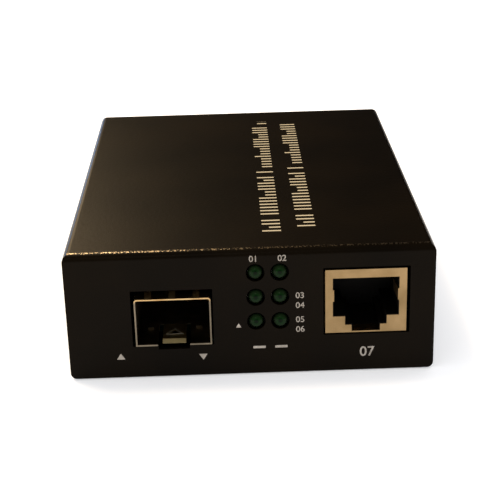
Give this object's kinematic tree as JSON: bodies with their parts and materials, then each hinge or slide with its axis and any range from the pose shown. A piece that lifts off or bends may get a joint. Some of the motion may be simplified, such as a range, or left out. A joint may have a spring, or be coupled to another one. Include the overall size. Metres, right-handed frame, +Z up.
{
  "type": "fibre media converter",
  "caption": "Small black folded-steel box with a module cage, indicator lamps and a shielded network socket at the front and a round power inlet at the rear.",
  "frame": {"origin": "on the table plane, under the middle of the case", "axes": "+X to the right as seen from the front, +Y from the front to the rear, +Z up"},
  "size_m": [0.0706, 0.0948, 0.026],
  "materials": {
    "case_paint": "fine matt powder coat on folded steel",
    "black_screw": "blackened steel",
    "board_mask": "green solder mask on laminate",
    "plated_steel": "tin or nickel plate",
    "cage_plating": "nickel-plated thin sheet",
    "jack_plating": "satin, warm nickel over brass",
    "black_plastic": "moulded black plastic",
    "gold_contact": "gold flash",
    "green_lens": "clear dark green epoxy",
    "chip_epoxy": "moulded epoxy",
    "ferrite": "dark sintered ferrite",
    "capacitor_can": "drawn aluminium",
    "chip_ceramic": "tan ceramic"
  },
  "bodies": {
    "case": {"top_cover": "case_paint", "base_tray": "case_paint", "case_screws": "black_screw", "circuit_board": "board_mask", "board_standoffs": "plated_steel", "board_screws": "plated_steel", "sfp_cage_shell": "cage_plating", "sfp_cage_floor": "cage_plating", "sfp_connector": "black_plastic", "sfp_connector_contacts": "gold_contact", "rj45_shield": "jack_plating", "rj45_housing": "black_plastic", "rj45_contacts": "gold_contact", "led_holder": "black_plastic", "led_leads": "plated_steel", "led_power": "green_lens", "led_gigabit": "green_lens", "led_fibre_link": "green_lens", "led_copper_link": "green_lens", "led_signal_detect": "green_lens", "led_full_duplex": "green_lens", "dc_jack_housing": "black_plastic", "dc_centre_pin": "plated_steel", "dc_sleeve_spring": "plated_steel", "converter_chip": "chip_epoxy", "memory_chip": "chip_epoxy", "chip_leads": "plated_steel", "network_transformer": "chip_epoxy", "transformer_leads": "plated_steel", "crystal_can": "plated_steel", "power_inductor": "ferrite", "voltage_regulator": "chip_epoxy", "input_capacitor": "capacitor_can", "output_capacitor": "capacitor_can", "input_diode": "chip_epoxy", "small_parts": "chip_ceramic"},
    "latch": {"sfp_latch_tongue": "cage_plating"}
  },
  "joints": [
    {"name": "latch_spring", "type": "hinge", "parent": "case", "child": "latch", "pos_m": [-0.0149, -0.0386, 0.00725], "axis": [1, 0, 0], "range_deg": [0, 12], "stiffness_Nm_per_rad": 0.08}
  ]
}
